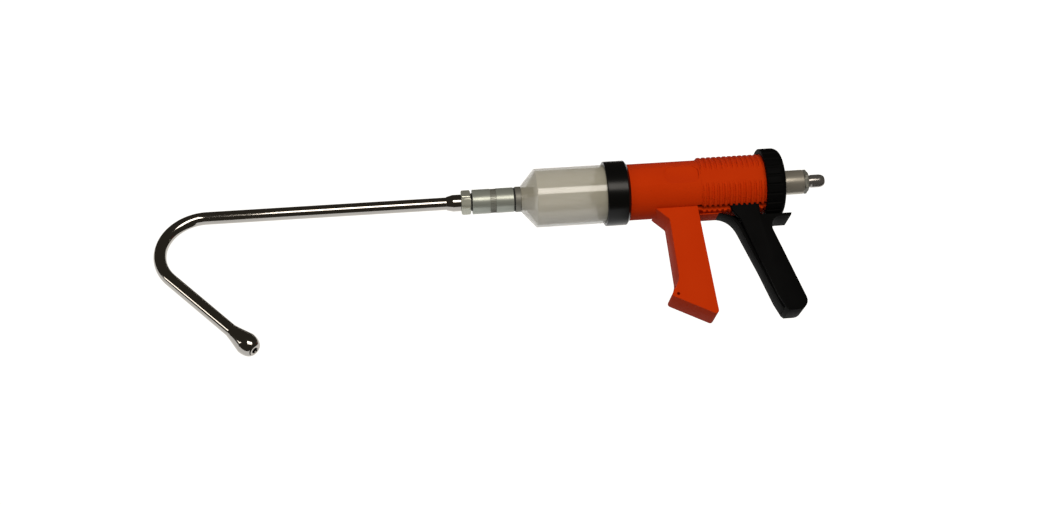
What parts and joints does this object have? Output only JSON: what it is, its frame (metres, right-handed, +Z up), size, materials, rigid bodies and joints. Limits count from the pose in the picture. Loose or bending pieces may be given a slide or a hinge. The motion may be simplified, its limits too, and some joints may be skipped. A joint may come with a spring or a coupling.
{
  "type": "livestock drencher",
  "caption": "Hand-held dosing gun with a hooked bulb-ended nozzle, translucent barrel, ribbed housing with a fixed grip, sliding trigger handle and a rear dose knob.",
  "frame": {"origin": "middle of the fixed grip, where the palm of the hand closes on it", "axes": "+X along the barrel from the nozzle to the hose tail, +Z up from the grip to the barrel, +Y to the gun's right side when it points away from the holder"},
  "size_m": [0.5653, 0.0793, 0.1631],
  "materials": {
    "chromed_tube": "polished chrome plate",
    "plated_fitting": "satin nickel plate",
    "bright_nut": "polished chrome plate",
    "spring_steel": "drawn wire",
    "steel": "turned steel",
    "rubber": "matt moulded rubber",
    "clear_barrel": "milky translucent moulding",
    "black_nylon": "fine moulded satin",
    "black_gloss": "smooth moulded gloss",
    "orange_nylon": "moulded satin",
    "white_acetal": "machined acetal",
    "grey_acetal": "machined acetal"
  },
  "bodies": {
    "gun_body": {"housing": "orange_nylon", "clamp_ring": "black_gloss", "barrel": "clear_barrel", "barrel_gasket": "rubber", "rod_guide": "white_acetal", "outlet_connector": "plated_fitting", "nose_oring": "rubber", "sleeve_gasket": "rubber", "valve_sleeve": "plated_fitting", "outlet_seat": "white_acetal", "outlet_spring": "spring_steel", "lance_nut": "bright_nut", "return_spring": "spring_steel"},
    "lance": {"hook_tube": "chromed_tube", "nozzle_bulb": "chromed_tube", "tube_ferrule": "chromed_tube", "lance_clip": "spring_steel", "lance_oring": "rubber"},
    "outlet_valve": {"outlet_ball": "steel"},
    "dose_stop": {"thrust_washer": "white_acetal"},
    "dose_control": {"dose_knob": "black_nylon"},
    "trigger": {"trigger_shell": "black_nylon", "trigger_strip": "black_nylon", "trigger_pins": "steel", "carriage": "grey_acetal", "rod_clips": "spring_steel", "spring_cup": "steel", "plunger_rod": "steel", "piston": "grey_acetal", "piston_rings": "rubber", "piston_nut": "steel", "inlet_sleeve": "plated_fitting", "inlet_seat": "white_acetal", "inlet_spring": "spring_steel", "inlet_nut": "bright_nut", "hose_tail": "bright_nut"},
    "inlet_valve": {"inlet_ball": "steel"}
  },
  "joints": [
    {"name": "hook_swivel", "type": "hinge", "parent": "gun_body", "child": "lance", "pos_m": [-0.186, 0, 0.065], "axis": [1, 0, 0], "continuous": true},
    {"name": "outlet_lift", "type": "slide", "parent": "gun_body", "child": "outlet_valve", "axis": [-1, 0, 0], "range_m": [0, 0.0015], "stiffness_N_per_m": 100, "springref_m": -0.001, "deforming": ["outlet_spring"]},
    {"name": "dose_travel", "type": "slide", "parent": "gun_body", "child": "dose_stop", "axis": [1, 0, 0], "range_m": [0, 0.00905]},
    {"name": "dose_turn", "type": "hinge", "parent": "dose_stop", "child": "dose_control", "pos_m": [0.0696, 0, 0.065], "axis": [1, 0, 0], "range_deg": [0, 720]},
    {"name": "trigger_slide", "type": "slide", "parent": "dose_stop", "child": "trigger", "axis": [-1, 0, 0], "range_m": [0, 0.028], "stiffness_N_per_m": 800, "springref_m": -0.02, "deforming": ["return_spring"]},
    {"name": "inlet_lift", "type": "slide", "parent": "trigger", "child": "inlet_valve", "axis": [-1, 0, 0], "range_m": [0, 0.0015], "stiffness_N_per_m": 100, "springref_m": -0.001, "deforming": ["inlet_spring"]}
  ],
  "couplings": [
    {"joint": "dose_travel", "follows": "dose_turn", "m_per_rad": 0.0007162}
  ]
}
